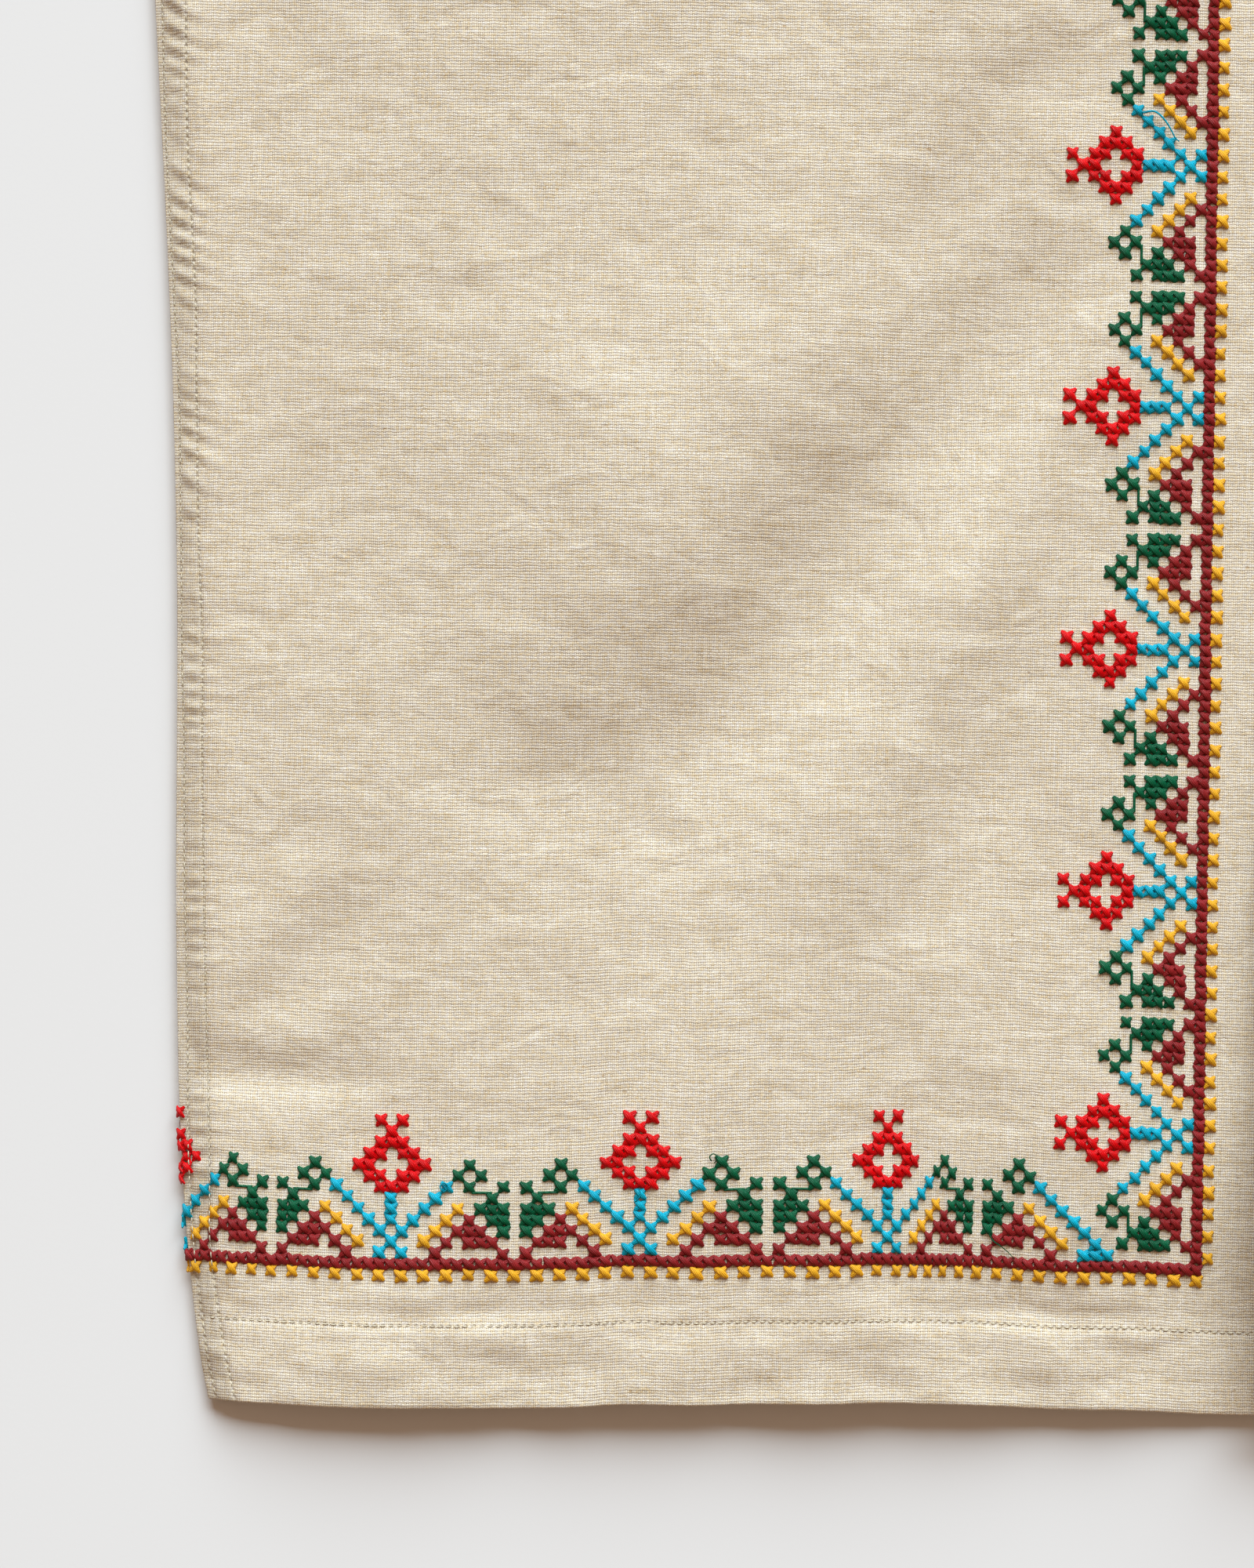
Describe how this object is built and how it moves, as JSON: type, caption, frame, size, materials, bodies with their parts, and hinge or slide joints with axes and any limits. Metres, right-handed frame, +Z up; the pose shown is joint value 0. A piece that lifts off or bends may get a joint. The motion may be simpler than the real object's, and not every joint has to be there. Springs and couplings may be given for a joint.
{
  "type": "embroidered shirt",
  "caption": "Linen shirt laid flat, short sleeves, stand collar, buttoned front with one side lapped over the other, cross-stitch border round hem and opening.",
  "frame": {"origin": "on the underside of the back, under the line of the opening, 365 mm up from the hem", "axes": "+X to the viewer's right across the shirt, +Y up the shirt to the collar, +Z up from the surface it lies on"},
  "size_m": [0.878, 0.7446, 0.0205],
  "materials": {
    "linen": "natural unbleached plain-weave linen, matt",
    "button": "pale horn-coloured button, satin",
    "stitching": "stranded cotton, cross-stitched in red, maroon, yellow, green and turquoise, soft sheen"
  },
  "bodies": {
    "root": {"back": "linen", "front_right": "linen", "front_left": "linen", "sleeve_right": "linen", "sleeve_left": "linen", "collar_band": "linen", "button_1": "button", "button_2": "button", "button_3": "button", "button_4": "button", "button_5": "button", "button_6": "button"}
  },
  "joints": []
}
